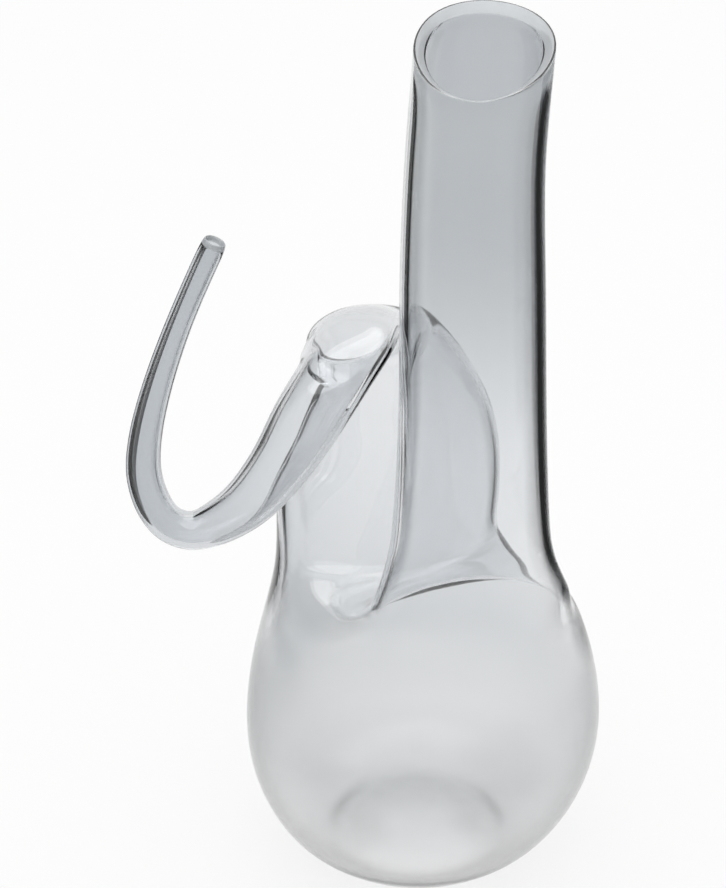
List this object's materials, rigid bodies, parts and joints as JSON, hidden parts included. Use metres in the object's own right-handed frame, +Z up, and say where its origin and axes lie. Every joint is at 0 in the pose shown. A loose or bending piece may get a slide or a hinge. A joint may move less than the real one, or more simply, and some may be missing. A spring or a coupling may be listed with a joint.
{
  "type": "decanter",
  "caption": "Mouth-blown clear glass decanter: a punted bowl with an open leaning-mouthed neck and a closed rear chamber folded over into a hollow curled tail spout.",
  "frame": {"origin": "on the surface it stands on, under the middle of the whole decanter's box", "axes": "+Z up, +X from the rear chamber towards the neck, the tail hangs on the -Y side"},
  "size_m": [0.131, 0.1684, 0.3449],
  "materials": {
    "clear_glass": "fire-polished"
  },
  "bodies": {
    "root": {"foot": "clear_glass", "bowl": "clear_glass", "shoulder": "clear_glass", "neck": "clear_glass", "lip": "clear_glass", "rear_chamber": "clear_glass", "tail": "clear_glass", "spout": "clear_glass"}
  },
  "joints": []
}
